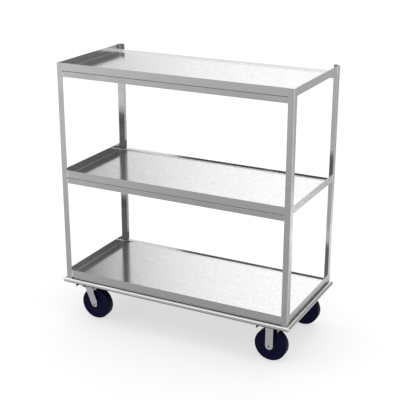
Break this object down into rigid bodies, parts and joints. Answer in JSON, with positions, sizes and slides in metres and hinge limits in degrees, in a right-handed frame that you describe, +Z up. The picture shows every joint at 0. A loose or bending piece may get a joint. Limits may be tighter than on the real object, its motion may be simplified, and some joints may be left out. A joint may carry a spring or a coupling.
{
  "type": "banquet cart",
  "caption": "Long open service cart: tray shelves with high front and end edges and a low rear lip, in an angle frame with a half-round bumper, on swivel and rigid casters.",
  "frame": {"origin": "on the floor, below the middle of the cart", "axes": "+Z up, X along the cart with the swivel casters at -X, front (high tray edge) at -Y"},
  "size_m": [1.57, 0.7545, 1.681],
  "materials": {
    "stainless": "polished sheet and angle",
    "bumper": "bright half-round section",
    "zinc": "satin plated steel",
    "bearing": "ground steel",
    "tread": "solid dark navy wheel"
  },
  "bodies": {
    "cart_frame": {"axle_bolt_front_right": "zinc", "axle_bolt_rear_right": "zinc", "axle_nut_front_right": "zinc", "axle_nut_rear_right": "zinc", "base_rail_front": "stainless", "base_rail_left": "stainless", "base_rail_rear": "stainless", "base_rail_right": "stainless", "bumper_front": "bumper", "bumper_left": "bumper", "bumper_rear": "bumper", "bumper_right": "bumper", "caster_channel_left": "stainless", "caster_channel_right": "stainless", "kingpin_front_left": "zinc", "kingpin_nut_front_left": "zinc", "kingpin_nut_rear_left": "zinc", "kingpin_rear_left": "zinc", "post_front_left": "stainless", "post_front_right": "stainless", "post_rear_left": "stainless", "post_rear_right": "stainless", "rigid_fork_front_right": "zinc", "rigid_fork_rear_right": "zinc", "shelf_rail_middle_front": "stainless", "shelf_rail_middle_rear": "stainless", "shelf_rail_top_front": "stainless", "shelf_rail_top_rear": "stainless", "spanner_bushing_front_right": "bearing", "spanner_bushing_rear_right": "bearing", "swivel_balls_front_left": "bearing", "swivel_balls_rear_left": "bearing", "swivel_plate_front_left": "zinc", "swivel_plate_rear_left": "zinc", "tray_bottom": "stainless", "tray_middle": "stainless", "tray_stiffener_bottom": "stainless", "tray_stiffener_middle": "stainless", "tray_stiffener_top": "stainless", "tray_top": "stainless"},
    "swivel_front_left": {"swivel_fork_front_left": "zinc", "axle_bolt_front_left": "zinc", "axle_nut_front_left": "zinc", "spanner_bushing_front_left": "bearing"},
    "rolling_wheel_front_left": {"wheel_front_left": "tread", "roller_bearing_front_left": "bearing"},
    "swivel_rear_left": {"swivel_fork_rear_left": "zinc", "axle_bolt_rear_left": "zinc", "axle_nut_rear_left": "zinc", "spanner_bushing_rear_left": "bearing"},
    "rolling_wheel_rear_left": {"wheel_rear_left": "tread", "roller_bearing_rear_left": "bearing"},
    "rolling_wheel_front_right": {"wheel_front_right": "tread", "roller_bearing_front_right": "bearing"},
    "rolling_wheel_rear_right": {"wheel_rear_right": "tread", "roller_bearing_rear_right": "bearing"}
  },
  "joints": [
    {"name": "swivel_front_left", "type": "hinge", "parent": "cart_frame", "child": "swivel_front_left", "pos_m": [-0.635, -0.26625, 0.215], "axis": [0, 0, 1], "continuous": true},
    {"name": "wheel_spin_front_left", "type": "hinge", "parent": "swivel_front_left", "child": "rolling_wheel_front_left", "pos_m": [-0.594, -0.26625, 0.1016], "axis": [0, 1, 0], "continuous": true},
    {"name": "swivel_rear_left", "type": "hinge", "parent": "cart_frame", "child": "swivel_rear_left", "pos_m": [-0.635, 0.26625, 0.215], "axis": [0, 0, 1], "continuous": true},
    {"name": "wheel_spin_rear_left", "type": "hinge", "parent": "swivel_rear_left", "child": "rolling_wheel_rear_left", "pos_m": [-0.594, 0.26625, 0.1016], "axis": [0, 1, 0], "continuous": true},
    {"name": "wheel_spin_front_right", "type": "hinge", "parent": "cart_frame", "child": "rolling_wheel_front_right", "pos_m": [0.635, -0.26625, 0.1016], "axis": [0, 1, 0], "continuous": true},
    {"name": "wheel_spin_rear_right", "type": "hinge", "parent": "cart_frame", "child": "rolling_wheel_rear_right", "pos_m": [0.635, 0.26625, 0.1016], "axis": [0, 1, 0], "continuous": true}
  ]
}
